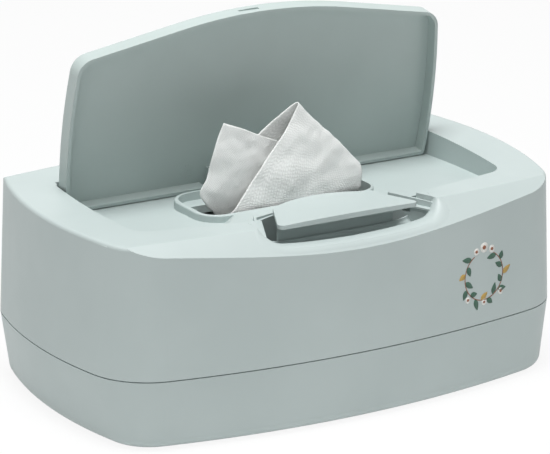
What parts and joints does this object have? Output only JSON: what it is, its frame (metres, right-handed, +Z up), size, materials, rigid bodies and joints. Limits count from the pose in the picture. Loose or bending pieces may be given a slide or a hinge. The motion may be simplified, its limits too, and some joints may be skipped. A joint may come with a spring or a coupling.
{
  "type": "baby wipes box",
  "caption": "Oblong wipes box: base tray, lift-off casing with sunk pocket and slot collar, flip-up lid on a sprung pin, press tab over a finger scoop.",
  "frame": {"origin": "on the table under the middle of the box, at the underside of its feet", "axes": "+X along the box, -Y to the front with the press tab, +Z up"},
  "size_m": [0.25, 0.1618, 0.1725],
  "materials": {
    "sage_plastic": "fine matte moulded polypropylene",
    "spring_steel": "bright drawn wire",
    "pin_steel": "plain ground pin",
    "foot_rubber": "soft grey rubber",
    "wipe_cloth": "white embossed non-woven"
  },
  "bodies": {
    "tray": {"base_tray": "sage_plastic", "foot_front_left": "foot_rubber", "foot_front_right": "foot_rubber", "foot_back_left": "foot_rubber", "foot_back_right": "foot_rubber", "wipes_stack": "wipe_cloth"},
    "casing": {"upper_casing": "sage_plastic", "hinge_pin": "pin_steel", "lid_spring": "spring_steel", "tab_spring_left": "spring_steel", "tab_spring_right": "spring_steel", "top_wipe": "wipe_cloth"},
    "lid": {"flip_lid": "sage_plastic"},
    "tab": {"press_tab": "sage_plastic"}
  },
  "joints": [
    {"name": "casing_lift", "type": "slide", "parent": "tray", "child": "casing", "axis": [0, 0, 1], "range_m": [0, 0.12]},
    {"name": "lid_hinge", "type": "hinge", "parent": "casing", "child": "lid", "pos_m": [0, 0.0253, 0.091], "axis": [1, 0, 0], "range_deg": [0, 81.5], "stiffness_Nm_per_rad": 0.02, "springref_deg": -28.65, "deforming": ["top_wipe", "lid_spring"]},
    {"name": "tab_press", "type": "slide", "parent": "casing", "child": "tab", "axis": [0, 0, -1], "range_m": [0, 0.0089], "deforming": ["tab_spring_left", "tab_spring_right"]}
  ],
  "couplings": [
    {"joint": "tab_press", "follows": "lid_hinge", "m_per_rad": 0.00618}
  ]
}
